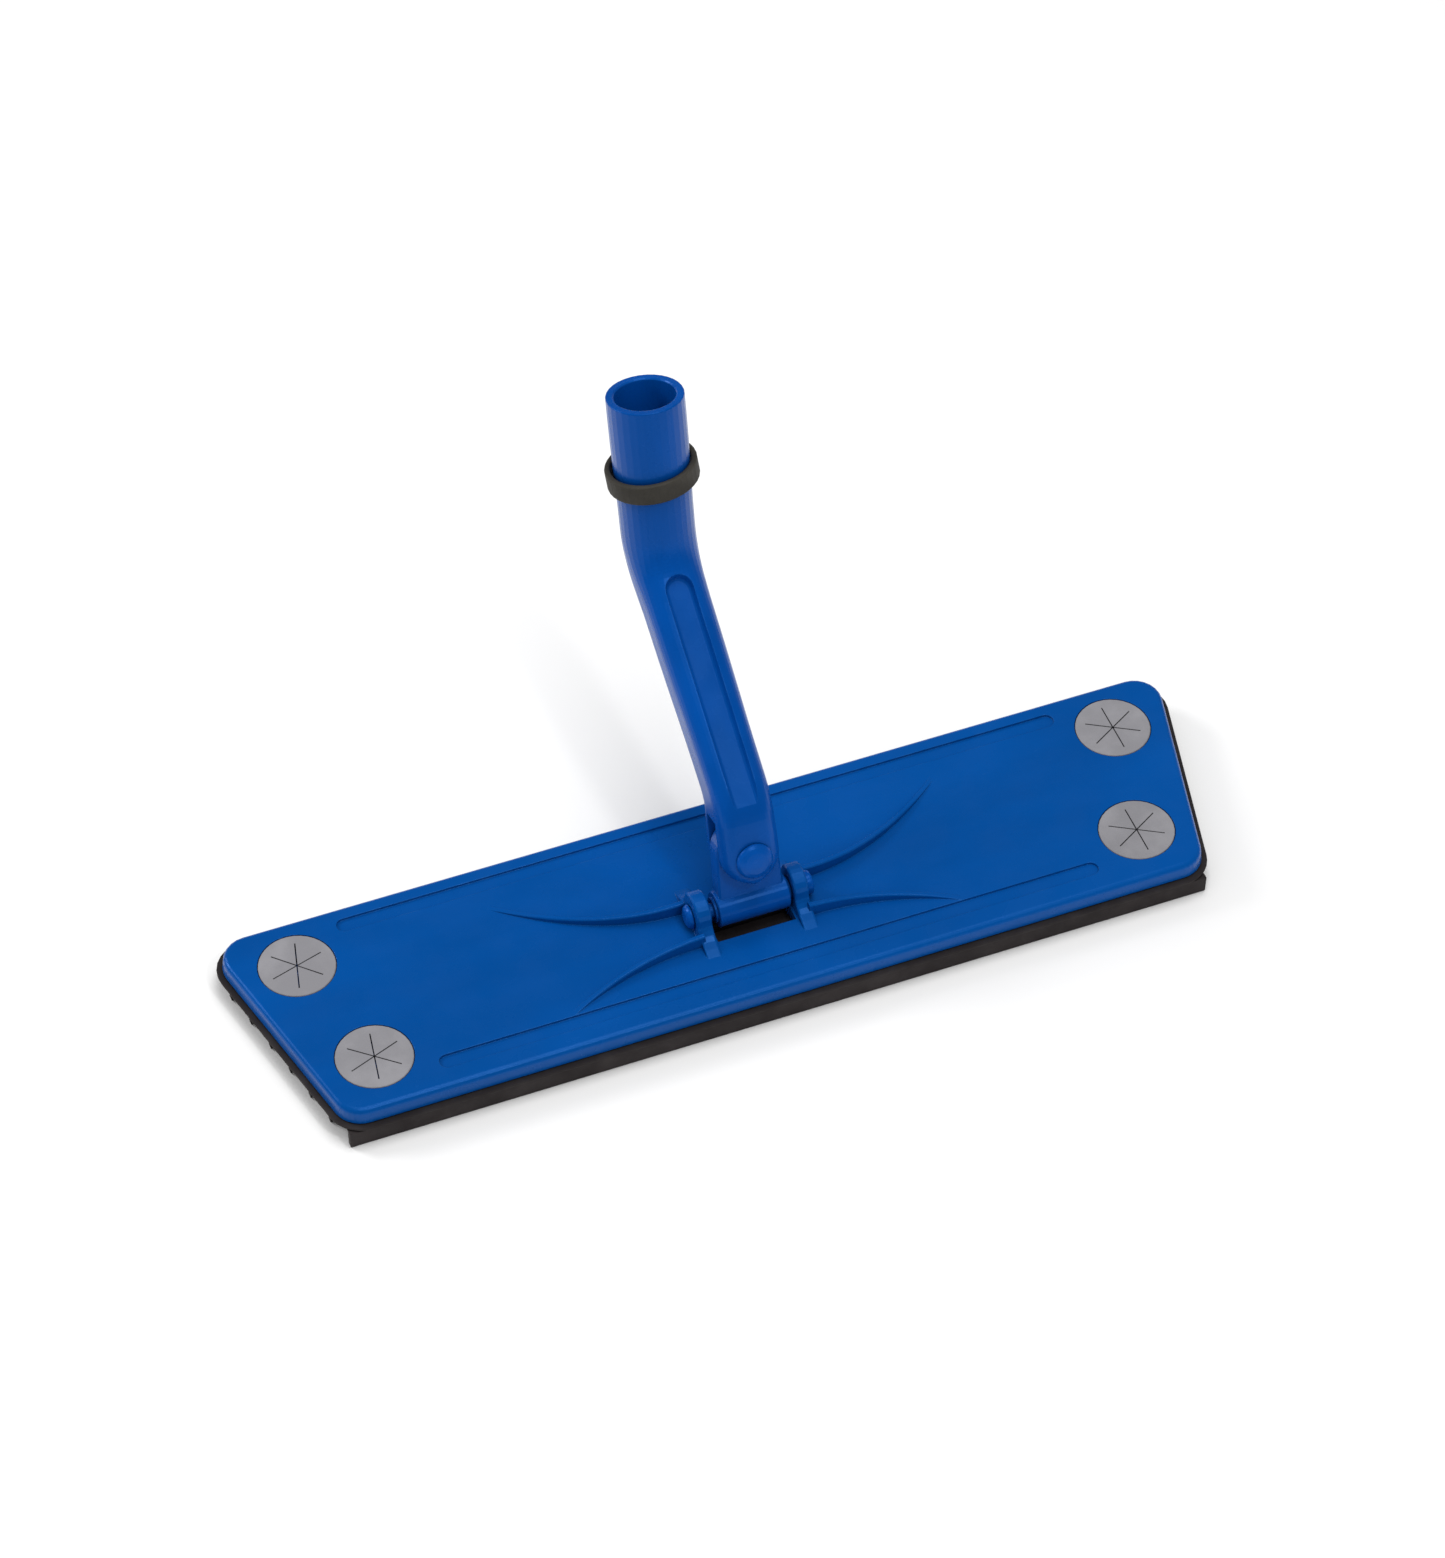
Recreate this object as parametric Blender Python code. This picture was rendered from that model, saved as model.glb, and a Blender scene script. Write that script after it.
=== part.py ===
"""Swivel flat wall brush head: a trapezoid plate on a rubber sole, with a universal joint and a socket.

Metres, +Z up. The origin lies on the surface that the strips stand on, straight under the front-back hinge.
+X runs along the long side and +Y towards the longer, back edge of the plate.
"""

import math

import bmesh
import bpy
from mathutils import Matrix, Vector

# ---------------------------------------------------------------- driving dimensions
GAP = 0.0003                     # clearance between neighbouring pieces

# outline, sole and base plate
FRONT_Y = -0.0446                # sole at the short, front edge
BACK_Y = 0.0612                  # sole at the long, back edge
SIDE_X = 0.1932                  # half width of the sole level with the hinge
SIDE_SLOPE = 0.237               # the slanted side gains this much x per unit of y
SOLE_BOTTOM = 0.0086
SOLE_TOP = 0.0097
SOLE_EDGE = 0.0003
PLATE_BOTTOM = SOLE_TOP + GAP    # underside of the wall and of the rails
TOP_Z = 0.0170                   # top face
LEDGE = 0.0024                   # the sole stands out this far round the plate
WALL_DRAFT = 0.0004
EDGE_RADIUS = 0.0024             # rounding between the wall and the top face
CORNER_RADIUS = 0.0140
LEAST_CORNER = 0.0020
SKIN_Z = 0.0136                  # ceiling of the pockets under the plate
SIDE_WALL = 0.0052               # sole edge to pocket, along the slanted sides
CROSS_RIBS = (0.018, 0.060, 0.120)
CROSS_RIB_HALF = 0.0010

# channels in the top face: centre line y, half length
CHANNELS = ((-0.02955, 0.139), (0.0490, 0.154))
CHANNEL_HALF = 0.00325
CHANNEL_DEPTH = 0.0010

# wiping strips
STRIP_COUNT = 8
STRIP_PITCH = 0.0142
STRIP_FIRST_Y = -0.0426
STRIP_HALF = 0.0013
STRIP_TIP_HALF = 0.0009
STRIP_INSET = 0.0024             # strip end to sole edge
FOOT_BOTTOM = 0.0071             # the blade widens here into a foot under the sole
FOOT_HALF = 0.0022
TONGUE_HALF = 0.0007
TONGUE_TOP = 0.0124
TONGUE_END = 0.0044              # tongue end to sole edge
EDGE_TONGUE_SHIFT = 0.0026       # the outermost strips hold on inside the wall
RAIL_HALF = 0.0032

# gripper discs
GRIPPER_RADIUS = 0.0154
GRIPPERS = {
    "gripper_front_left": (-0.1613, -0.0174, 20.0),
    "gripper_front_right": (0.1613, -0.0174, 30.0),
    "gripper_back_left": (-0.1748, 0.0360, 16.0),
    "gripper_back_right": (0.1748, 0.0360, 30.0),
}
GRIPPER_TOP = 0.0171
MEMBRANE_BOTTOM = 0.0153
SKIRT_INNER = 0.0118
SKIRT_OUTER = 0.0130
SKIRT_BOTTOM = 0.0133
SLIT_HALF = 0.00025
SLIT_REACH = 0.0113
WELL_FLOOR = 0.0118
BOSS_RADIUS = 0.0174
BOSS_BOTTOM = 0.0106

# front-back hinge
HINGE_Z = 0.0226
TOWER_INNER = 0.0175
TOWER_OUTER = 0.0235
TOWER_TOP = 0.0330
TOWER_HEAD = 0.0080              # radius of the tower's round head
TOWER_FOOT = 0.0185              # half length of the foot on the plate
TOWER_EDGE = 0.0006
AXLE_RADIUS = 0.0030
AXLE_HEAD = 0.0050
ROLLER_RADIUS = 0.0074
ROLLER_HALF = 0.0159
SHOULDER_RADIUS = 0.0052         # the roller's ends, clear of the plate beside the window
SHOULDER_WIDTH = 0.0010
KNUCKLE_X = 0.0013               # the knuckle rests towards the right tower, within its play
WINDOW_X = 0.0165
WINDOW_Y = (-0.0117, 0.0090)

# curved ribs: y of the near face at the tower, sweep, x of the tip
RIB_START_X = 0.0250
RIBS = ((0.0066, 1.0, 0.084, 0.097), (-0.0097, -1.0, 0.115, 0.0835))
RIB_WIDTH = 0.0025
RIB_HEIGHT = 0.0060

# knuckle lug and side pivot
LEAN = math.radians(18.0)        # the lug leans back by this much at rest
PIN_DISTANCE = 0.0255            # hinge axis to pin axis
LUG_HALF_THICK = 0.0043
LUG_HEAD = 0.0126
LUG_BASE = 0.0138
LUG_EDGE = 0.0008
PIN_RADIUS = 0.0030
PIN_HEAD = 0.0076
PIN_CAP = 0.0052
ARM_TILT = math.radians(0.66)     # the arm stands this far to the right at rest

# handle arm, in the pivot's own frame: y back along the pin, z up the lug
FORK_HALF = 0.0120
FORK_THICK = 0.0125
FORK_END_ROUND = 0.0025
FORK_SLOT_HALF = 0.0046
FORK_ROOT = 0.0160
NECK_LOW = Vector((0.0, 0.0220))
NECK_HIGH = Vector((0.0669, 0.0993))
MOUTH = Vector((0.0637, 0.1707))
BEND_LOW = 0.022
BEND_HIGH = 0.033
# distance along the arm from the pin: half width, half thickness, corner radius
ARM_SECTIONS = (
    (0.000, FORK_HALF, FORK_THICK, 0.0055),
    (0.030, 0.01190, 0.01100, 0.0070),
    (0.096, 0.01300, 0.01120, 0.0085),
    (0.136, 0.01475, 0.01475, 0.0146),
    (0.182, 0.01540, 0.01540, 0.0152),
)
SOCKET_BORE = 0.0121
SOCKET_DEPTH = 0.0580
RIM_ROUND = 0.0005
LEAST_FLAT = 0.00015             # half length of the flats left between a section's corners
RECESS_HALF = 0.0055
RECESS_RUN = (-0.0120, 0.0890)   # along the neck, from its lower corner point
RECESS_DEPTH = 0.0026

# rubber ring on the socket
RING_BELOW_MOUTH = 0.0344
RING_HALF_HEIGHT = 0.00425
RING_INNER = 0.0159
RING_OUTER = 0.0184
RING_TILT = math.radians(5.5)    # it sits askew, its right side higher
RING_EDGE = 0.0009

ROUND_STEPS = 36                 # sides of a round piece
SMOOTH_ANGLE = math.radians(32.0)


# ---------------------------------------------------------------- helpers
def clear_scene():
    for obj in list(bpy.data.objects):
        bpy.data.objects.remove(obj, do_unlink=True)


def material(name, colour, roughness, metallic=0.0):
    """A Principled material; colour is linear red, green, blue."""
    mat = bpy.data.materials.new(name)
    mat.use_nodes = True
    shader = mat.node_tree.nodes["Principled BSDF"]
    shader.inputs["Base Color"].default_value = (*colour, 1.0)
    shader.inputs["Roughness"].default_value = roughness
    shader.inputs["Metallic"].default_value = metallic
    return mat


def loft(bm, loops, matrix=None):
    """Adds the closed skin that joins equal-length loops in turn, with a flat cap at each end."""
    rings = []
    for loop in loops:
        points = [Vector(point) for point in loop]
        if matrix is not None:
            points = [matrix @ point for point in points]
        rings.append([bm.verts.new(point) for point in points])
    for lower, upper in zip(rings, rings[1:]):
        for i in range(len(lower)):
            j = (i + 1) % len(lower)
            bm.faces.new((lower[i], lower[j], upper[j], upper[i]))
    bm.faces.new(list(reversed(rings[0])))
    bm.faces.new(rings[-1])


def circle(radius, height, steps=ROUND_STEPS):
    """Points of a circle round +Z at the given height."""
    return [
        (radius * math.cos(2 * math.pi * i / steps), radius * math.sin(2 * math.pi * i / steps), height)
        for i in range(steps)
    ]


def turn(bm, profile, matrix=None, steps=ROUND_STEPS):
    """Adds a turned solid from (radius, height) pairs that run from one end cap to the other."""
    loft(bm, [circle(radius, height, steps) for radius, height in profile], matrix)


def block(bm, low, high):
    """Adds a box between two corners."""
    x0, y0, z0 = low
    x1, y1, z1 = high
    loft(bm, [[(x0, y0, z), (x1, y0, z), (x1, y1, z), (x0, y1, z)] for z in (z0, z1)])


def make_object(name, bm, mat):
    """Turns a bmesh into a linked object with outward faces and smooth shading between sharp edges."""
    bmesh.ops.recalc_face_normals(bm, faces=bm.faces)
    mesh = bpy.data.meshes.new(name)
    bm.to_mesh(mesh)
    bm.free()
    obj = bpy.data.objects.new(name, mesh)
    bpy.context.scene.collection.objects.link(obj)
    if mat is not None:
        mesh.materials.append(mat)
    return obj


def shape(name, build, mat=None):
    """An object from a function that fills an empty bmesh."""
    bm = bmesh.new()
    build(bm)
    return make_object(name, bm, mat)


def combine(target, build, operation):
    """Applies a Boolean between target and the solids that build makes, then drops those solids."""
    tool = shape("tool", build)
    modifier = target.modifiers.new("combine", "BOOLEAN")
    modifier.operation = operation
    modifier.solver = "EXACT"
    modifier.object = tool
    graph = bpy.context.evaluated_depsgraph_get()
    mesh = bpy.data.meshes.new_from_object(target.evaluated_get(graph))
    target.modifiers.clear()
    target.data = mesh
    bpy.data.objects.remove(tool, do_unlink=True)


def cut(target, build):
    combine(target, build, "DIFFERENCE")


def join(target, build):
    combine(target, build, "UNION")


def smooth(obj):
    obj.data.shade_smooth()
    obj.data.set_sharp_from_angle(angle=SMOOTH_ANGLE)


def along_x(x=0.0, y=0.0, z=0.0):
    """Places a turned solid with its axis along +X."""
    return Matrix.Translation((x, y, z)) @ Matrix.Rotation(math.pi / 2, 4, "Y")


def along_y(x=0.0, y=0.0, z=0.0):
    """Places a turned solid with its axis along +Y."""
    return Matrix.Translation((x, y, z)) @ Matrix.Rotation(-math.pi / 2, 4, "X")


# ---------------------------------------------------------------- outline
def side_x(y, inset=0.0):
    """Half width of the trapezoid at y, its slanted side moved in by inset."""
    return SIDE_X + SIDE_SLOPE * y - inset * math.hypot(1.0, SIDE_SLOPE)


def corner_circle(edge_y, inward, inset):
    """Centre and radius of a right-hand corner of the outline, moved in by inset."""
    radius = max(CORNER_RADIUS - inset, LEAST_CORNER)
    centre_y = edge_y + inward * (inset + radius)
    return side_x(centre_y, inset + radius), centre_y, radius


def outline_x(y, inset):
    """Half width at y of the outline with its rounded corners, moved in by inset."""
    half = side_x(y, inset)
    for edge_y, inward in ((FRONT_Y, 1.0), (BACK_Y, -1.0)):
        centre_x, centre_y, radius = corner_circle(edge_y, inward, inset)
        beyond = (centre_y - y) * inward
        if beyond > 0:
            half = min(half, centre_x + math.sqrt(max(radius * radius - beyond * beyond, 0.0)))
    return half


def plate_loop(inset, z, steps=7):
    """The trapezoid outline with rounded corners, moved in by inset from the sole's edge."""
    lean = -math.atan(SIDE_SLOPE)
    quarter = math.pi / 2
    right = []
    for edge_y, inward, first, last in ((FRONT_Y, 1.0, -quarter, lean), (BACK_Y, -1.0, lean, quarter)):
        centre_x, centre_y, radius = corner_circle(edge_y, inward, inset)
        for i in range(steps + 1):
            angle = first + (last - first) * i / steps
            right.append((centre_x + radius * math.cos(angle), centre_y + radius * math.sin(angle), z))
    left = [(-x, y, height) for x, y, height in reversed(right)]
    return right + left


def strip_y(index):
    """Middle of a strip's blade."""
    return STRIP_FIRST_Y + STRIP_PITCH * index


def groove_y(index):
    """Middle of the groove that holds a strip: moved inwards for the two outermost strips."""
    inward = {0: 1.0, STRIP_COUNT - 1: -1.0}.get(index, 0.0)
    return strip_y(index) + inward * EDGE_TONGUE_SHIFT


def strip_slots(low, high):
    """A tool that cuts the slot of every strip's tongue between two heights."""
    half = TONGUE_HALF + GAP

    def build(bm):
        for index in range(STRIP_COUNT):
            y = groove_y(index)
            end = outline_x(y, TONGUE_END) + GAP
            block(bm, (-end, y - half, low), (end, y + half, high))

    return build


# ---------------------------------------------------------------- sole
def sole_sheet(bm):
    loft(bm, [
        plate_loop(SOLE_EDGE, SOLE_BOTTOM),
        plate_loop(0.0, SOLE_BOTTOM + SOLE_EDGE),
        plate_loop(0.0, SOLE_TOP - SOLE_EDGE),
        plate_loop(SOLE_EDGE, SOLE_TOP),
    ])


def rubber_sole(mat):
    """A sheet between plate and strips, slotted where the strips' tongues go through."""
    sole = shape("rubber_sole", sole_sheet, mat)
    cut(sole, strip_slots(SOLE_BOTTOM - 0.002, SOLE_TOP + 0.002))
    smooth(sole)
    return sole


# ---------------------------------------------------------------- base plate
def plate_shell(bm):
    """Wall and rounded top edge as one solid slab."""
    wall_top = TOP_Z - EDGE_RADIUS
    loops = [
        plate_loop(LEDGE + 0.0003, PLATE_BOTTOM),
        plate_loop(LEDGE, PLATE_BOTTOM + 0.0003),
        plate_loop(LEDGE + WALL_DRAFT, wall_top),
    ]
    steps = 5
    for i in range(1, steps + 1):
        angle = math.pi / 2 * i / steps
        inset = LEDGE + WALL_DRAFT + EDGE_RADIUS * (1 - math.cos(angle))
        loops.append(plate_loop(inset, wall_top + EDGE_RADIUS * math.sin(angle)))
    loft(bm, loops)


def pockets(bm):
    """Hollows between the rails, parted by the cross ribs, with ends that follow the slanted sides."""
    walls = sorted([-x for x in CROSS_RIBS] + list(CROSS_RIBS))
    for index in range(STRIP_COUNT - 1):
        front = groove_y(index) + RAIL_HALF
        back = groove_y(index + 1) - RAIL_HALF
        ends = [outline_x(y, SIDE_WALL) for y in (front, back)]
        rights = [(x - CROSS_RIB_HALF,) * 2 for x in walls] + [tuple(ends)]
        lefts = [(-ends[0], -ends[1])] + [(x + CROSS_RIB_HALF,) * 2 for x in walls]
        for (left_front, left_back), (right_front, right_back) in zip(lefts, rights):
            loft(bm, [
                [(left_front, front, z), (right_front, front, z), (right_back, back, z), (left_back, back, z)]
                for z in (PLATE_BOTTOM - 0.002, SKIN_Z)
            ])


def gripper_bosses(bm):
    for x, y, _ in GRIPPERS.values():
        turn(bm, ((BOSS_RADIUS, BOSS_BOTTOM), (BOSS_RADIUS, SKIN_Z + 0.0006)), Matrix.Translation((x, y, 0)))


def gripper_wells(bm):
    """A blind well under each disc and the shallow seat that holds its flange."""
    well = SKIRT_OUTER + GAP
    seat = GRIPPER_RADIUS + GAP
    seat_floor = MEMBRANE_BOTTOM - GAP
    profile = ((well, WELL_FLOOR), (well, seat_floor), (seat, seat_floor), (seat, TOP_Z + 0.002))
    for x, y, _ in GRIPPERS.values():
        turn(bm, profile, Matrix.Translation((x, y, 0)))


def tower_profile(shrink, x):
    """Bell outline in the YZ plane: a concave foot that rises into a round head."""
    head_z = TOWER_TOP - TOWER_HEAD
    flare = TOWER_FOOT - TOWER_HEAD
    rise = head_z - TOP_Z
    steps = 6
    side = [(TOWER_FOOT - shrink, TOP_Z - 0.0012)]
    for i in range(steps):
        height = rise * i / steps
        side.append((TOWER_HEAD + flare * (1 - height / rise) ** 2 - shrink, TOP_Z + height))
    radius = TOWER_HEAD - shrink
    arc_steps = 12
    arc = [
        (radius * math.cos(math.pi * i / arc_steps), head_z + radius * math.sin(math.pi * i / arc_steps))
        for i in range(arc_steps + 1)
    ]
    back_to_front = side + arc + [(-y, z) for y, z in reversed(side)]
    return [(x, y, z) for y, z in back_to_front]


def towers(bm):
    for side in (1, -1):
        inner = side * TOWER_INNER
        outer = side * TOWER_OUTER
        step = side * TOWER_EDGE
        loft(bm, [
            tower_profile(TOWER_EDGE, inner),
            tower_profile(0.0, inner + step),
            tower_profile(0.0, outer - step),
            tower_profile(TOWER_EDGE, outer),
        ])


def rib_loop(x, start_y, bow, sweep, height):
    """One cross-section of a curved rib, square at the foot with a softened top."""
    offset = x - RIB_START_X
    near = start_y + bow * offset * abs(offset) / (2 * sweep)
    far = near + bow * RIB_WIDTH
    soft = min(0.0005, 0.2 * height + 0.0001)
    foot = TOP_Z - 0.0008
    top = TOP_Z + height
    inset = bow * soft
    return [
        (near, foot),
        (near, top - soft),
        (near + inset, top),
        (far - inset, top),
        (far, top - soft),
        (far, foot),
    ]


def ribs(bm):
    """Four ribs that sweep out from the towers and sink into the plate at their tips."""
    steps = 18
    for start_y, bow, sweep, tip_x in RIBS:
        for side in (1, -1):
            loops = []
            for i in range(steps + 1):
                share = i / steps
                x = RIB_START_X - 0.003 + (tip_x - RIB_START_X + 0.003) * share
                height = RIB_HEIGHT * (1 - share) ** 0.8 - 0.0003 * share
                outline = rib_loop(x, start_y, bow, sweep, height)
                loops.append([(side * x, y, z) for y, z in outline])
            loft(bm, loops)


def channel_tool(bm):
    """Long slots with round ends, as deep as the channels."""
    steps = 8
    for y, half in CHANNELS:
        outline = []
        for side in (1, -1):
            centre = side * (half - CHANNEL_HALF)
            for i in range(steps + 1):
                angle = math.pi * (i / steps - side / 2)
                outline.append((centre + CHANNEL_HALF * math.cos(angle), y + CHANNEL_HALF * math.sin(angle)))
        loft(bm, [[(px, py, z) for px, py in outline] for z in (TOP_Z - CHANNEL_DEPTH, TOP_Z + 0.002)])


def window(bm):
    block(bm, (-WINDOW_X, WINDOW_Y[0], PLATE_BOTTOM - 0.002), (WINDOW_X, WINDOW_Y[1], TOP_Z + 0.002))


def hinge_bore(bm):
    reach = TOWER_OUTER + 0.002
    radius = AXLE_RADIUS + GAP
    turn(bm, ((radius, -reach), (radius, reach)), along_x(z=HINGE_Z))


def base_plate(mat):
    plate = shape("base_plate", plate_shell, mat)
    cut(plate, pockets)
    join(plate, gripper_bosses)
    join(plate, towers)
    join(plate, ribs)
    cut(plate, gripper_wells)
    cut(plate, window)
    cut(plate, channel_tool)
    cut(plate, strip_slots(PLATE_BOTTOM - 0.002, TONGUE_TOP + GAP))
    cut(plate, hinge_bore)
    smooth(plate)
    return plate


# ---------------------------------------------------------------- strips and grippers
def strip(index, mat):
    """A rubber blade that widens into a foot under the sole, with a tongue that stands in the rail's groove.

    The ends are cut square; the front strip's run out past the rounded corners of the plate.
    """
    y = strip_y(index)
    groove = groove_y(index)
    end = outline_x(y, STRIP_INSET) if index else side_x(y, STRIP_INSET)
    tongue_end = outline_x(groove, TONGUE_END)
    foot_front = groove - FOOT_HALF if groove <= y else y - STRIP_HALF
    foot_back = groove + FOOT_HALF if groove >= y else y + STRIP_HALF
    foot_top = SOLE_BOTTOM - GAP
    levels = (
        (end - 0.0003, y - STRIP_TIP_HALF, y + STRIP_TIP_HALF, 0.0),
        (end, y - STRIP_HALF + 0.0001, y + STRIP_HALF - 0.0001, 0.0008),
        (end, y - STRIP_HALF, y + STRIP_HALF, FOOT_BOTTOM),
        (end, foot_front, foot_back, FOOT_BOTTOM),
        (end, foot_front, foot_back, foot_top),
        (tongue_end, groove - TONGUE_HALF, groove + TONGUE_HALF, foot_top),
        (tongue_end, groove - TONGUE_HALF, groove + TONGUE_HALF, TONGUE_TOP),
    )

    def build(bm):
        loft(bm, [
            [(-half, front, z), (half, front, z), (half, back, z), (-half, back, z)]
            for half, front, back, z in levels
        ])

    return shape(f"lamella_{index + 1}", build, mat)


def star_tool(bm):
    """Six slit rays that meet in the middle, as one prism."""
    outline = []
    for k in range(6):
        ray = math.radians(60 * k)
        for across in (-SLIT_HALF, SLIT_HALF):
            outline.append((
                SLIT_REACH * math.cos(ray) - across * math.sin(ray),
                SLIT_REACH * math.sin(ray) + across * math.cos(ray),
            ))
        notch = ray + math.radians(30)
        outline.append((2 * SLIT_HALF * math.cos(notch), 2 * SLIT_HALF * math.sin(notch)))
    loft(bm, [[(x, y, z) for x, y in outline] for z in (MEMBRANE_BOTTOM - 0.004, GRIPPER_TOP + 0.002)])


def gripper(name, x, y, turned_by, mat):
    """A rubber disc with a skirt below and a slit membrane in the middle."""
    profile = (
        (SKIRT_INNER, MEMBRANE_BOTTOM),
        (SKIRT_INNER, SKIRT_BOTTOM),
        (SKIRT_OUTER, SKIRT_BOTTOM),
        (SKIRT_OUTER, MEMBRANE_BOTTOM),
        (GRIPPER_RADIUS, MEMBRANE_BOTTOM),
        (GRIPPER_RADIUS, GRIPPER_TOP - 0.0004),
        (GRIPPER_RADIUS - 0.0001, GRIPPER_TOP - 0.0002),
        (GRIPPER_RADIUS - 0.0004, GRIPPER_TOP),
    )
    disc = shape(name, lambda bm: turn(bm, profile), mat)
    cut(disc, star_tool)
    disc.location = (x, y, 0.0)
    disc.rotation_euler = (0.0, 0.0, math.radians(turned_by))
    smooth(disc)
    return disc


# ---------------------------------------------------------------- turned fasteners
def headed_pin(name, shaft, head, face, far_end, head_thick, matrix, mat):
    """A pin with a domed head whose seat is at face and a plain shaft that runs to far_end."""
    profile = (
        (head * 0.30, face - head_thick),
        (head * 0.62, face - head_thick * 0.90),
        (head * 0.86, face - head_thick * 0.66),
        (head * 0.97, face - head_thick * 0.36),
        (head, face - head_thick * 0.12),
        (head, face),
        (shaft, face),
        (shaft, far_end - 0.0004),
        (shaft - 0.0004, far_end),
    )
    pin = shape(name, lambda bm: turn(bm, profile, matrix), mat)
    smooth(pin)
    return pin


def push_cap(name, shaft, radius, face, shaft_end, matrix, mat):
    """A domed cap with a blind bore that grips the end of a shaft."""
    bore = shaft + GAP
    floor = shaft_end + GAP
    top = floor + 0.0011
    profile = (
        (bore, floor),
        (bore, face),
        (radius, face),
        (radius, top - 0.0012),
        (radius * 0.93, top - 0.0005),
        (radius * 0.75, top - 0.0001),
        (radius * 0.45, top),
    )
    cap = shape(name, lambda bm: turn(bm, profile, matrix), mat)
    smooth(cap)
    return cap


# ---------------------------------------------------------------- knuckle
def lug_profile(shrink, y):
    """Outline of the lug seen along the pin: a tapering web under a round head."""
    steps = 16
    radius = LUG_HEAD - shrink
    base = LUG_BASE - shrink
    points = [(base, 0.0)]
    for i in range(steps + 1):
        angle = math.pi * i / steps
        points.append((radius * math.cos(angle), PIN_DISTANCE + radius * math.sin(angle)))
    points.append((-base, 0.0))
    return [(x, y, z) for x, z in points]


def lug(bm):
    lean = Matrix.Rotation(-LEAN, 4, "X")
    flat = LUG_HALF_THICK - LUG_EDGE
    loft(bm, [
        lug_profile(LUG_EDGE, -LUG_HALF_THICK),
        lug_profile(0.0, -flat),
        lug_profile(0.0, flat),
        lug_profile(LUG_EDGE, LUG_HALF_THICK),
    ], lean)


def roller(bm):
    edge = 0.0004
    step = ROLLER_HALF - SHOULDER_WIDTH
    profile = (
        (SHOULDER_RADIUS, -ROLLER_HALF),
        (SHOULDER_RADIUS, -step),
        (ROLLER_RADIUS - edge, -step),
        (ROLLER_RADIUS, -step + edge),
        (ROLLER_RADIUS, step - edge),
        (ROLLER_RADIUS - edge, step),
        (SHOULDER_RADIUS, step),
        (SHOULDER_RADIUS, ROLLER_HALF),
    )
    turn(bm, profile, along_x())


def knuckle_bores(bm):
    radius = AXLE_RADIUS + GAP
    turn(bm, ((radius, -0.02), (radius, 0.02)), along_x())
    pin = Matrix.Rotation(-LEAN, 4, "X") @ along_y(z=PIN_DISTANCE)
    radius = PIN_RADIUS + GAP
    turn(bm, ((radius, -0.01), (radius, 0.01)), pin)


def swivel_knuckle(mat):
    knuckle = shape("swivel_knuckle", roller, mat)
    join(knuckle, lug)
    cut(knuckle, knuckle_bores)
    smooth(knuckle)
    return knuckle


# ---------------------------------------------------------------- handle arm
def bent_path(points, radii, arc_steps, straight_step):
    """Follows straight legs joined by arcs; gives (distance, point, unit direction) stations."""
    stations = [(0.0, points[0], (points[1] - points[0]).normalized())]

    def advance(point, direction):
        distance = stations[-1][0] + (point - stations[-1][1]).length
        stations.append((distance, point, direction))

    def run_straight(end):
        start = stations[-1][1]
        direction = (end - start).normalized()
        count = max(1, round((end - start).length / straight_step))
        for i in range(1, count + 1):
            advance(start.lerp(end, i / count), direction)

    for before, corner, after, radius in zip(points, points[1:], points[2:], radii):
        incoming = (corner - before).normalized()
        outgoing = (after - corner).normalized()
        bend = incoming.angle_signed(outgoing)
        reach = radius * math.tan(abs(bend) / 2)
        run_straight(corner - incoming * reach)
        towards = Vector((incoming.y, -incoming.x)) * math.copysign(1.0, bend)
        centre = corner - incoming * reach + towards * radius
        for i in range(1, arc_steps + 1):
            swept = Matrix.Rotation(-bend * i / arc_steps, 2)
            advance(centre - (swept @ towards) * radius, swept @ incoming)
    run_straight(points[-1])
    return stations


def rounded_section(half_width, half_thick, corner, steps=8):
    """A rectangle with round corners, as (across, through) pairs."""
    corner = min(corner, half_width - LEAST_FLAT, half_thick - LEAST_FLAT)
    points = []
    for quarter, (sx, sy) in enumerate(((1, 1), (-1, 1), (-1, -1), (1, -1))):
        for i in range(steps + 1):
            angle = math.pi / 2 * (quarter + i / steps)
            points.append((
                sx * (half_width - corner) + corner * math.cos(angle),
                sy * (half_thick - corner) + corner * math.sin(angle),
            ))
    return points


def arm_size(distance):
    """Half width, half thickness and corner radius, eased between the named sections."""
    for (start, *low), (end, *high) in zip(ARM_SECTIONS, ARM_SECTIONS[1:]):
        if distance <= end:
            share = max(0.0, (distance - start) / (end - start))
            eased = share * share * (3 - 2 * share)
            return [a + (b - a) * eased for a, b in zip(low, high)]
    return list(ARM_SECTIONS[-1][1:])


def arm_loop(point, direction, section):
    """Stands a section square to the arm at a point of its centre line."""
    normal = Vector((direction.y, -direction.x))
    loop = []
    for across, through in section:
        place = point + normal * through
        loop.append((across, place.x, place.y))
    return loop


def arm_stations():
    return bent_path((Vector((0.0, 0.0)), NECK_LOW, NECK_HIGH, MOUTH), (BEND_LOW, BEND_HIGH), 9, 0.009)


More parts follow.
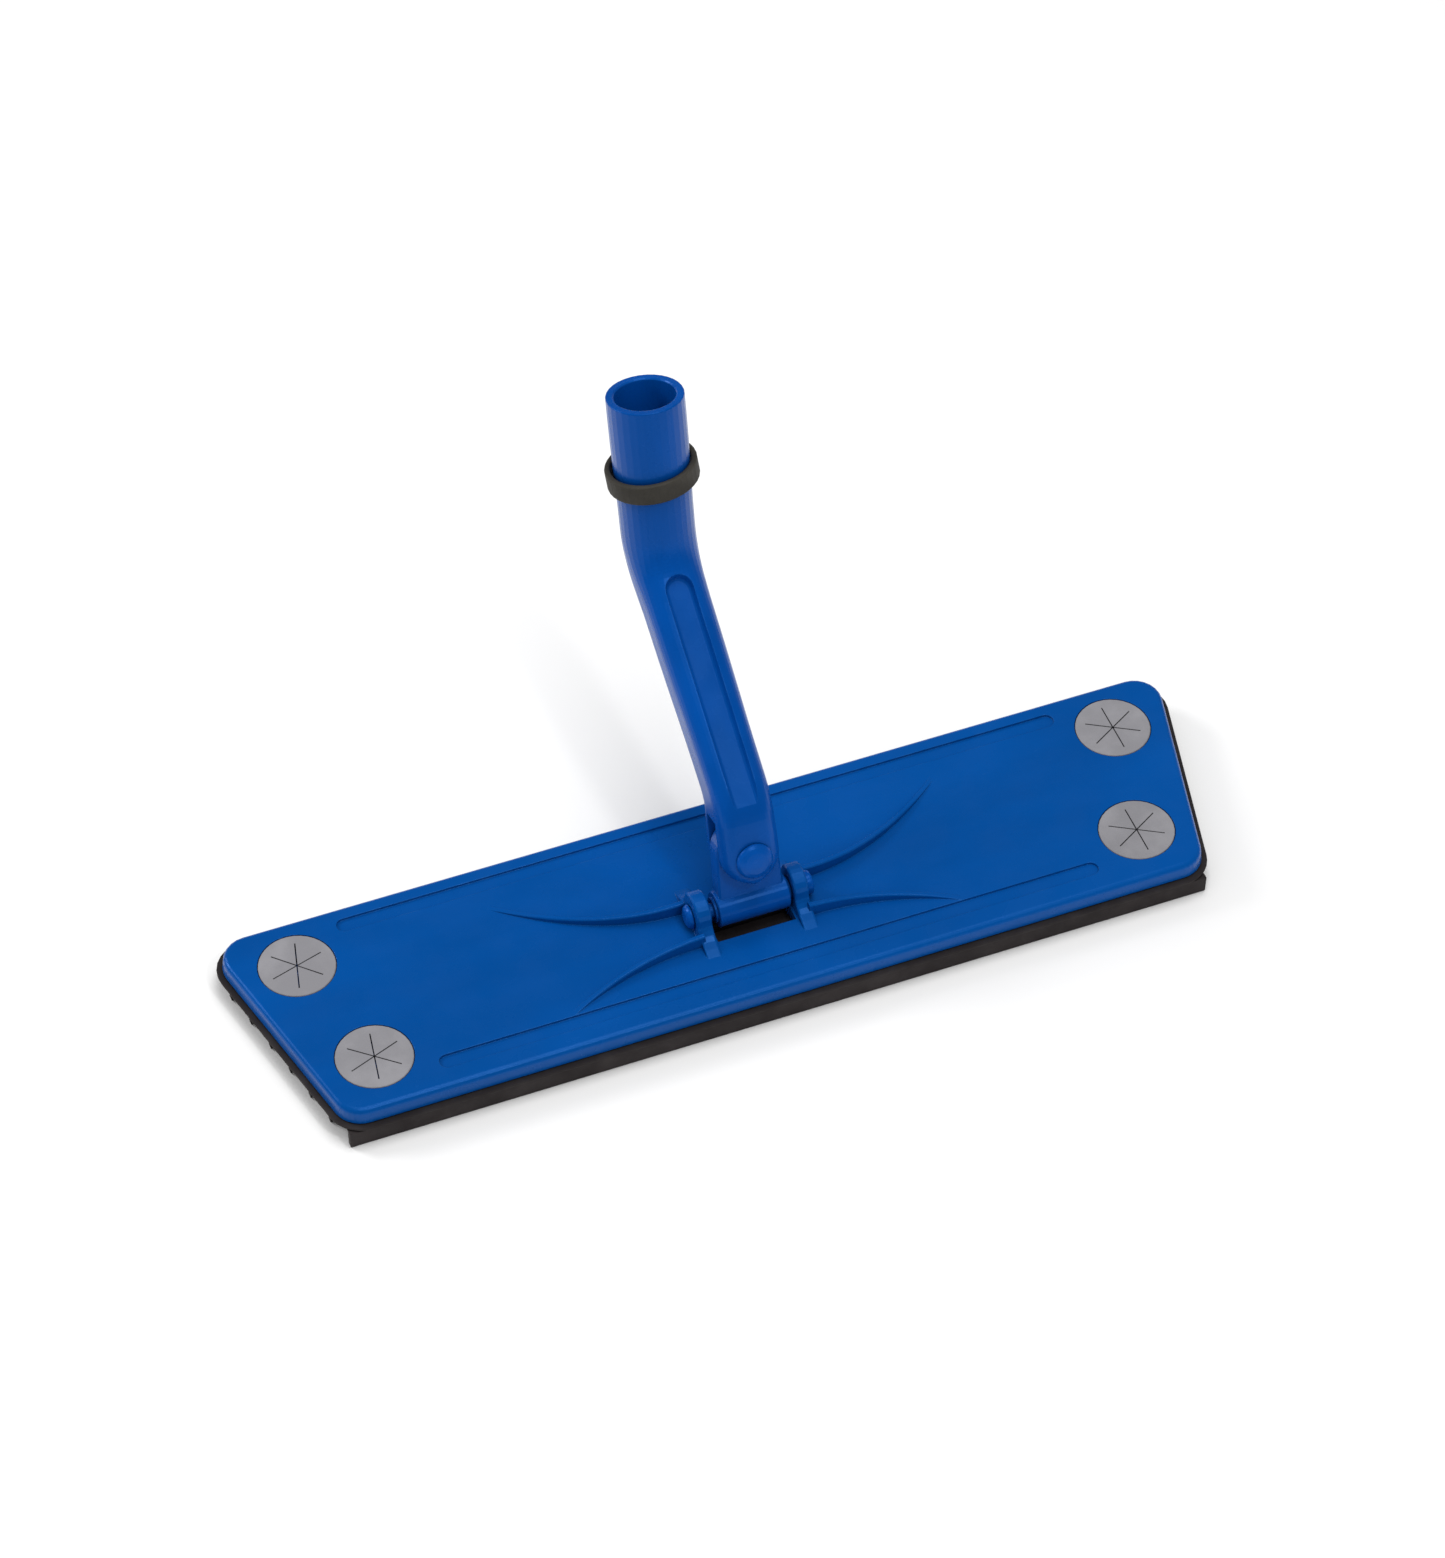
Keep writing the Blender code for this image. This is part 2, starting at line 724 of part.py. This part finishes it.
def arm_body(bm):
    """One skin from the round end of the fork, through the S-shaped neck, to the rim of the socket."""
    loops = []
    up = Vector((0.0, 1.0))
    _, _, thick, corner = ARM_SECTIONS[0]
    for degrees in (12, 24, 38, 52, 66, 78):
        angle = math.radians(degrees)
        end_round = FORK_END_ROUND * (1 - math.sin(angle)) ** 2
        section = rounded_section(FORK_HALF * math.sin(angle), thick - end_round, corner)
        loops.append(arm_loop(up * (-FORK_HALF * math.cos(angle)), up, section))
    stations = arm_stations()
    for distance, point, direction in stations[:-1]:
        loops.append(arm_loop(point, direction, rounded_section(*arm_size(distance))))
    distance, point, direction = stations[-1]
    half_width, half_thick, corner = arm_size(distance)
    for back, shrink in ((RIM_ROUND, 0.0), (RIM_ROUND * 0.3, RIM_ROUND * 0.3), (0.0, RIM_ROUND)):
        section = rounded_section(half_width - shrink, half_thick - shrink, corner - shrink)
        loops.append(arm_loop(point - direction * back, direction, section))
    loft(bm, loops)


def socket_matrix():
    """Puts a turned solid on the socket's axis with its zero at the mouth, pointing out."""
    direction = (MOUTH - NECK_HIGH).normalized()
    lean = math.atan2(direction.x, direction.y)
    return Matrix.Translation((0.0, MOUTH.x, MOUTH.y)) @ Matrix.Rotation(-lean, 4, "X")


def socket_bore(bm):
    profile = (
        (SOCKET_BORE, -SOCKET_DEPTH),
        (SOCKET_BORE, -0.0006),
        (SOCKET_BORE + 0.0006, 0.0),
        (SOCKET_BORE + 0.0006, 0.003),
    )
    turn(bm, profile, socket_matrix())


def fork_slot(bm):
    block(bm, (-0.02, -FORK_SLOT_HALF, -0.02), (0.02, FORK_SLOT_HALF, FORK_ROOT))


def fork_bore(bm):
    radius = PIN_RADIUS + GAP
    turn(bm, ((radius, -0.02), (radius, 0.02)), along_y())


def recess_tool(bm):
    """A long round-ended pocket in the upper face of the neck, which runs out at the lower bend."""
    leg = NECK_HIGH - NECK_LOW
    low, high = RECESS_RUN
    middle = NECK_LOW + leg.normalized() * (low + high) / 2
    lean = math.atan2(leg.x, leg.y)
    place = Matrix.Translation((0.0, middle.x, middle.y)) @ Matrix.Rotation(-lean, 4, "X")
    steps = 8
    centre = (high - low) / 2 - RECESS_HALF
    floor = -arm_size(0.060)[1] + RECESS_DEPTH

    def outline(half, y):
        points = []
        for end, first in ((1, 0.0), (-1, math.pi)):
            for i in range(steps + 1):
                angle = first + math.pi * i / steps
                points.append((half * math.cos(angle), y, end * centre + half * math.sin(angle)))
        return points

    loft(bm, [
        outline(RECESS_HALF - 0.0014, floor),
        outline(RECESS_HALF - 0.0006, floor - 0.0004),
        outline(RECESS_HALF - 0.0001, floor - 0.0013),
        outline(RECESS_HALF + 0.0008, floor - 2 * RECESS_DEPTH),
    ], place)


def handle_arm(mat):
    arm = shape("handle_arm", arm_body, mat)
    cut(arm, recess_tool)
    cut(arm, socket_bore)
    cut(arm, fork_slot)
    cut(arm, fork_bore)
    smooth(arm)
    return arm


def socket_ring(mat):
    """A rubber band of square section with softened edges."""
    soft = RING_EDGE
    corners = (
        (RING_OUTER, -RING_HALF_HEIGHT, -soft, soft, -math.pi / 2),
        (RING_OUTER, RING_HALF_HEIGHT, -soft, -soft, 0.0),
        (RING_INNER, RING_HALF_HEIGHT, soft, -soft, math.pi / 2),
        (RING_INNER, -RING_HALF_HEIGHT, soft, soft, math.pi),
    )
    profile = []
    for radius, height, dr, dz, first in corners:
        for i in range(4):
            angle = first + math.pi / 2 * i / 3
            profile.append((radius + dr + soft * math.cos(angle), height + dz + soft * math.sin(angle)))
    centre = Matrix.Translation((0.0, 0.0, -RING_BELOW_MOUTH))
    place = socket_matrix() @ centre @ Matrix.Rotation(-RING_TILT, 4, "Y")

    def build(bm):
        rings = []
        for radius, height in profile:
            rings.append([bm.verts.new(place @ Vector(p)) for p in circle(radius, height)])
        for i, lower in enumerate(rings):
            upper = rings[(i + 1) % len(rings)]
            for k in range(ROUND_STEPS):
                n = (k + 1) % ROUND_STEPS
                bm.faces.new((lower[k], lower[n], upper[n], upper[k]))

    ring = shape("socket_ring", build, mat)
    smooth(ring)
    return ring


# ---------------------------------------------------------------- assembly
def empty(name, parent=None, matrix=None):
    marker = bpy.data.objects.new(name, None)
    bpy.context.scene.collection.objects.link(marker)
    marker.parent = parent
    marker.matrix_local = matrix or Matrix.Identity(4)
    return marker


def main():
    clear_scene()
    blue = material("blue_plastic", (0.004, 0.072, 0.330), 0.32)
    black_rubber = material("strip_rubber", (0.026, 0.020, 0.021), 0.75)
    grey_rubber = material("gripper_rubber", (0.36, 0.36, 0.39), 0.60)
    ring_rubber = material("ring_rubber", (0.070, 0.061, 0.048), 0.70)

    base_plate(blue)
    rubber_sole(black_rubber)
    for index in range(STRIP_COUNT):
        strip(index, black_rubber)
    for name, (x, y, turned_by) in GRIPPERS.items():
        gripper(name, x, y, turned_by, grey_rubber)

    axle_face = TOWER_OUTER + GAP
    axle_end = axle_face + 0.0022
    hinge_line = along_x(z=HINGE_Z)
    headed_pin("hinge_axle", AXLE_RADIUS, AXLE_HEAD, -axle_face, axle_end, 0.0026, hinge_line, blue)
    push_cap("axle_cap", AXLE_RADIUS, AXLE_HEAD, axle_face, axle_end, hinge_line, blue)

    hinge = empty("front_back_hinge", matrix=Matrix.Translation((KNUCKLE_X, 0.0, HINGE_Z)))
    swivel_knuckle(blue).parent = hinge

    lean = Matrix.Rotation(-LEAN, 4, "X")
    pivot_place = lean @ Matrix.Translation((0.0, 0.0, PIN_DISTANCE)) @ Matrix.Rotation(ARM_TILT, 4, "Y")
    pivot = empty("side_pivot", parent=hinge, matrix=pivot_place)
    handle_arm(blue).parent = pivot
    socket_ring(ring_rubber).parent = pivot
    pin_face = FORK_THICK + GAP
    pin_end = pin_face + 0.0024
    headed_pin("pivot_pin", PIN_RADIUS, PIN_HEAD, -pin_face, pin_end, 0.0030, along_y(), blue).parent = pivot
    push_cap("pivot_cap", PIN_RADIUS, PIN_CAP, pin_face, pin_end, along_y(), blue).parent = pivot


main()
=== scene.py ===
"""Looks for the swivel flat wall brush head: materials, floor, lights and camera round its CAD frame."""

import math

import bpy
from mathutils import Matrix, Vector


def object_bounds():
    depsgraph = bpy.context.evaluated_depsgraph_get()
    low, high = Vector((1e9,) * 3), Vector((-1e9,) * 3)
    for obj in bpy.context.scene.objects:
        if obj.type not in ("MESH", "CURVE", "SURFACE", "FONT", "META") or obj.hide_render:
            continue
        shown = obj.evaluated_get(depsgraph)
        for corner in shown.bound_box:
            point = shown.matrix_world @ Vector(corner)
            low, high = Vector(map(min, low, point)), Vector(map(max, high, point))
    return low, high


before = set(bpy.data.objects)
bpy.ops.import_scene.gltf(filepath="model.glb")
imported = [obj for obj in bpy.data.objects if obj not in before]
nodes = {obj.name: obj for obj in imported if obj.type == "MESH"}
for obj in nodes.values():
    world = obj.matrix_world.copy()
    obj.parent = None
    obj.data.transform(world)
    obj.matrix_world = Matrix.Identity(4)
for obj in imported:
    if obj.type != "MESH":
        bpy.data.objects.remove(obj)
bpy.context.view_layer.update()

# camera, in mm, metres and degrees
LENS_MM = 127.4
SENSOR_MM = 36.0
CAMERA_AT = (-0.5366, -1.2851, 1.6930)
CAMERA_YAW, CAMERA_TILT, CAMERA_ROLL = -22.24, 41.07, 1.01

# room light: strength of the even sky, and the darker walls that shiny plastic mirrors
SKY_LIGHT = 0.52
SKY_GLOSS = 0.06

# area lights: name, place, target, width and depth in metres, watts
LAMPS = (
    ("overhead", (0.10, -0.05, 2.0), (0.0, 0.0, 0.0), (1.5, 0.9), 17.5),
    ("back_left", (-1.5, 1.3, 1.25), (0.0, 0.0, 0.05), (0.8, 0.6), 17.0),
    ("front_glint", (0.35, -1.0, 1.75), (0.0, 0.0, 0.02), (0.16, 0.16), 4.5),
)

# floor
FLOOR_HALF = 6.0
FLOOR_DROP = 0.0002              # gap between the strips' tips and the floor
FLOOR_WHITE = 0.955

# colours, linear
PLATE_BLUE = (0.0005, 0.0715, 0.3150)
ARM_BLUE = (0.0005, 0.0660, 0.3300)
STRIP_BLACK = (0.0225, 0.0175, 0.0180)
GRIPPER_GREY = (0.266, 0.262, 0.282)
RING_GREY = (0.042, 0.038, 0.031)
SCUFF_BLUE = (0.035, 0.130, 0.400)
RUBBED_BLUE = (0.030, 0.160, 0.480)
STRIP_DUST = (0.048, 0.040, 0.040)
SOLE_DUST = (0.044, 0.039, 0.040)
GRIPPER_DUST = (0.350, 0.345, 0.368)
RING_DUST = (0.080, 0.073, 0.060)
SHINE_BLUE = (0.12, 0.38, 1.0, 1.0)      # tint of the plastic's shine, away from grazing angles
NO_TINT = (1.0, 1.0, 1.0, 1.0)

PLASTIC_SHINE = 0.44
RUBBER_SHINE = 0.22
PLASTIC_EDGE = 0.00055           # radius that the shading gives to the plastic's sharp edges
RUBBER_EDGE = 0.00030


# ---------------------------------------------------------------- node helpers
class Tree:
    """Builds a material's nodes round its Principled shader; textures are placed in metres."""

    def __init__(self, name):
        self.mat = bpy.data.materials.new(name)
        self.mat.use_nodes = True
        self.nodes = self.mat.node_tree.nodes
        self.links = self.mat.node_tree.links
        self.shader = self.nodes["Principled BSDF"]
        self.place = self.nodes.new("ShaderNodeTexCoord").outputs["Object"]

    def plug(self, source, socket):
        if hasattr(source, "is_output"):
            self.links.new(source, socket)
        else:
            socket.default_value = source

    def stretched(self, scale):
        node = self.nodes.new("ShaderNodeMapping")
        node.inputs["Scale"].default_value = scale
        self.plug(self.place, node.inputs["Vector"])
        return node.outputs["Vector"]

    def noise(self, scale, detail=3.0, rough=0.55, vector=None):
        node = self.nodes.new("ShaderNodeTexNoise")
        node.inputs["Scale"].default_value = scale
        node.inputs["Detail"].default_value = detail
        node.inputs["Roughness"].default_value = rough
        self.plug(vector or self.place, node.inputs["Vector"])
        return node.outputs["Fac"]

    def speckle(self, scale):
        node = self.nodes.new("ShaderNodeTexVoronoi")
        node.inputs["Scale"].default_value = scale
        self.plug(self.place, node.inputs["Vector"])
        return node.outputs["Distance"]

    def remap(self, value, low, high, to_low=0.0, to_high=1.0):
        node = self.nodes.new("ShaderNodeMapRange")
        node.interpolation_type = "SMOOTHSTEP"
        limits = {"From Min": low, "From Max": high, "To Min": to_low, "To Max": to_high}
        for socket, number in limits.items():
            node.inputs[socket].default_value = number
        self.plug(value, node.inputs["Value"])
        return node.outputs["Result"]

    def math(self, operation, a, b=0.0):
        node = self.nodes.new("ShaderNodeMath")
        node.operation = operation
        self.plug(a, node.inputs[0])
        self.plug(b, node.inputs[1])
        return node.outputs["Value"]

    def mix(self, share, a, b):
        node = self.nodes.new("ShaderNodeMix")
        node.data_type = "RGBA"
        self.plug(share, node.inputs["Factor"])
        for socket, colour in ((node.inputs[6], a), (node.inputs[7], b)):
            self.plug(colour if hasattr(colour, "is_output") else (*colour, 1.0), socket)
        return node.outputs[2]

    def crevices(self, reach):
        """1 in the open, towards 0 deep in corners and slits; the materials darken their colour by it as
        painted shade.
        """
        node = self.nodes.new("ShaderNodeAmbientOcclusion")
        node.samples = 6
        node.inputs["Distance"].default_value = reach
        return node.outputs["AO"]

    def edges(self, radius):
        """1 on sharp outer edges, 0 on flats; also gives the rounded normal."""
        bevel = self.nodes.new("ShaderNodeBevel")
        bevel.samples = 6
        bevel.inputs["Radius"].default_value = radius
        geometry = self.nodes.new("ShaderNodeNewGeometry")
        dot = self.nodes.new("ShaderNodeVectorMath")
        dot.operation = "DOT_PRODUCT"
        self.plug(bevel.outputs["Normal"], dot.inputs[0])
        self.plug(geometry.outputs["Normal"], dot.inputs[1])
        return self.remap(dot.outputs["Value"], 0.99, 0.80), bevel.outputs["Normal"]

    def bump(self, height, distance, strength=1.0, normal=None):
        node = self.nodes.new("ShaderNodeBump")
        node.inputs["Strength"].default_value = strength
        node.inputs["Distance"].default_value = distance
        self.plug(height, node.inputs["Height"])
        if normal is not None:
            self.plug(normal, node.inputs["Normal"])
        return node.outputs["Normal"]

    def finish(self, colour, roughness, normal, specular, tint):
        self.plug(colour, self.shader.inputs["Base Color"])
        self.plug(roughness, self.shader.inputs["Roughness"])
        self.plug(normal, self.shader.inputs["Normal"])
        self.shader.inputs["Specular IOR Level"].default_value = specular
        self.shader.inputs["Specular Tint"].default_value = tint
        return self.mat


def scaled(colour, factor):
    return tuple(channel * factor for channel in colour)


# ---------------------------------------------------------------- materials
def moulded_plastic(name, colour, flow, roughness):
    """Satin injection-moulded plastic: cloudy flow marks, fine grain, hairline scuffs, rubbed edges and
    painted shade in crevices.
    """
    tree = Tree(name)
    clouds = tree.noise(1.0, 4.0, 0.5, tree.stretched(flow))
    shade = tree.mix(tree.remap(clouds, 0.30, 0.72), scaled(colour, 0.90), scaled(colour, 1.08))
    scuffs = tree.noise(1.0, 5.0, 0.7, tree.stretched((260.0, 1500.0, 900.0)))
    scuffed = tree.remap(scuffs, 0.66, 0.76)
    shade = tree.mix(tree.math("MULTIPLY", scuffed, 0.16), shade, SCUFF_BLUE)
    edge, rounded = tree.edges(PLASTIC_EDGE)
    patchy = tree.remap(tree.noise(120.0, 3.0), 0.42, 0.66)
    rubbed = tree.math("MULTIPLY", tree.math("MULTIPLY", edge, patchy), 0.45)
    shade = tree.mix(rubbed, shade, RUBBED_BLUE)
    # painted shade: the colour darkens towards 35% in corners, recesses and between parts, where shade
    # falls
    painted_crevice_shade = tree.remap(tree.crevices(0.005), 0.15, 0.75, 0.45, 0.0)
    shade = tree.mix(painted_crevice_shade, shade, scaled(colour, 0.35))
    rough = tree.remap(tree.noise(60.0, 4.0), 0.3, 0.7, roughness - 0.05, roughness + 0.05)
    rough = tree.math("ADD", rough, tree.math("MULTIPLY", scuffed, 0.10))
    grain = tree.bump(tree.noise(1400.0, 2.0), 0.000018, 0.6, rounded)
    peel = tree.bump(tree.noise(170.0, 2.0), 0.00006, 0.5, grain)
    return tree.finish(shade, rough, peel, PLASTIC_SHINE, SHINE_BLUE)


def worn_rubber(name, colour, dust, roughness, grain_scale):
    """Matte rubber: fine grain, chalky bloom in patches, paler rubbed edges and painted shade in corners.
    """
    tree = Tree(name)
    bloom = tree.remap(tree.noise(55.0, 5.0, 0.62), 0.40, 0.72)
    shade = tree.mix(tree.math("MULTIPLY", bloom, 0.45), scaled(colour, 0.92), dust)
    specks = tree.remap(tree.speckle(2600.0), 0.02, 0.22, 0.22, 0.0)
    shade = tree.mix(specks, shade, scaled(dust, 1.3))
    edge, rounded = tree.edges(RUBBER_EDGE)
    patchy = tree.remap(tree.noise(200.0, 3.0), 0.40, 0.62)
    rubbed = tree.math("MULTIPLY", tree.math("MULTIPLY", edge, patchy), 0.5)
    shade = tree.mix(rubbed, shade, scaled(dust, 1.2))
    # painted shade: the colour darkens towards 30% in corners, slits and between parts, where shade falls
    painted_corner_shade = tree.remap(tree.crevices(0.004), 0.10, 0.80, 0.55, 0.0)
    shade = tree.mix(painted_corner_shade, shade, scaled(colour, 0.30))
    rough = tree.remap(tree.noise(90.0, 3.0), 0.3, 0.7, roughness - 0.07, roughness + 0.07)
    grain = tree.bump(tree.noise(grain_scale, 3.0, 0.6), 0.00005, 0.7, rounded)
    return tree.finish(shade, rough, grain, RUBBER_SHINE, NO_TINT)


def dress():
    plate = moulded_plastic("plate_plastic", PLATE_BLUE, (9.0, 26.0, 26.0), 0.27)
    arm = moulded_plastic("arm_plastic", ARM_BLUE, (60.0, 22.0, 22.0), 0.26)
    fasteners = moulded_plastic("fastener_plastic", scaled(ARM_BLUE, 1.05), (90.0, 90.0, 90.0), 0.26)
    strips = worn_rubber("strip_rubber_black", STRIP_BLACK, STRIP_DUST, 0.72, 1500.0)
    sole = worn_rubber("sole_rubber_black", scaled(STRIP_BLACK, 0.95), SOLE_DUST, 0.66, 1100.0)
    grippers = worn_rubber("gripper_rubber_grey", GRIPPER_GREY, GRIPPER_DUST, 0.62, 1700.0)
    ring = worn_rubber("ring_rubber_grey", RING_GREY, RING_DUST, 0.66, 1300.0)
    for name, node in nodes.items():
        if name == "base_plate":
            mat = plate
        elif name in ("handle_arm", "swivel_knuckle"):
            mat = arm
        elif name == "rubber_sole":
            mat = sole
        elif name.startswith("lamella"):
            mat = strips
        elif name.startswith("gripper"):
            mat = grippers
        elif name == "socket_ring":
            mat = ring
        else:
            mat = fasteners
        for slot in node.material_slots:
            slot.material = mat


# ---------------------------------------------------------------- camera
def aim_camera():
    data = bpy.data.cameras.new("photo_camera")
    data.lens = LENS_MM
    data.sensor_width = SENSOR_MM
    data.sensor_fit = "AUTO"
    data.clip_start = 0.05
    data.clip_end = 50.0
    camera = bpy.data.objects.new("photo_camera", data)
    bpy.context.scene.collection.objects.link(camera)
    turned = (
        Matrix.Rotation(math.radians(CAMERA_YAW), 4, "Z")
        @ Matrix.Rotation(math.radians(CAMERA_TILT), 4, "X")
        @ Matrix.Rotation(math.radians(CAMERA_ROLL), 4, "Z")
    )
    camera.matrix_world = Matrix.Translation(CAMERA_AT) @ turned
    bpy.context.scene.camera = camera


# ---------------------------------------------------------------- floor and light
def lay_floor():
    mesh = bpy.data.meshes.new("floor")
    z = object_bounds()[0].z - FLOOR_DROP
    corners = [(x * FLOOR_HALF, y * FLOOR_HALF, z) for x, y in ((-1, -1), (1, -1), (1, 1), (-1, 1))]
    mesh.from_pydata(corners, [], [(0, 1, 2, 3)])
    floor = bpy.data.objects.new("floor", mesh)
    bpy.context.scene.collection.objects.link(floor)
    mat = bpy.data.materials.new("floor_paper")
    mat.use_nodes = True
    shader = mat.node_tree.nodes["Principled BSDF"]
    shader.inputs["Base Color"].default_value = (FLOOR_WHITE, FLOOR_WHITE, FLOOR_WHITE, 1.0)
    shader.inputs["Roughness"].default_value = 0.9
    shader.inputs["Specular IOR Level"].default_value = 0.1
    mesh.materials.append(mat)


def area_light(name, at, target, size, power):
    data = bpy.data.lights.new(name, "AREA")
    data.shape = "RECTANGLE"
    data.size, data.size_y = size
    data.energy = power
    lamp = bpy.data.objects.new(name, data)
    bpy.context.scene.collection.objects.link(lamp)
    lamp.location = at
    lamp.rotation_mode = "QUATERNION"
    lamp.rotation_quaternion = (Vector(target) - Vector(at)).to_track_quat("-Z", "Y")


def light_scene():
    world = bpy.data.worlds.new("studio")
    world.use_nodes = True
    tree = world.node_tree
    background = tree.nodes["Background"]
    background.inputs["Color"].default_value = (1.0, 1.0, 1.0, 1.0)
    path = tree.nodes.new("ShaderNodeLightPath")
    dim = tree.nodes.new("ShaderNodeMapRange")
    dim.inputs["To Min"].default_value = SKY_LIGHT
    dim.inputs["To Max"].default_value = SKY_GLOSS
    tree.links.new(path.outputs["Is Glossy Ray"], dim.inputs["Value"])
    tree.links.new(dim.outputs["Result"], background.inputs["Strength"])
    bpy.context.scene.world = world
    bpy.context.scene.view_settings.view_transform = "Standard"
    for name, at, target, size, power in LAMPS:
        area_light(name, at, target, size, power)


dress()
aim_camera()
lay_floor()
light_scene()
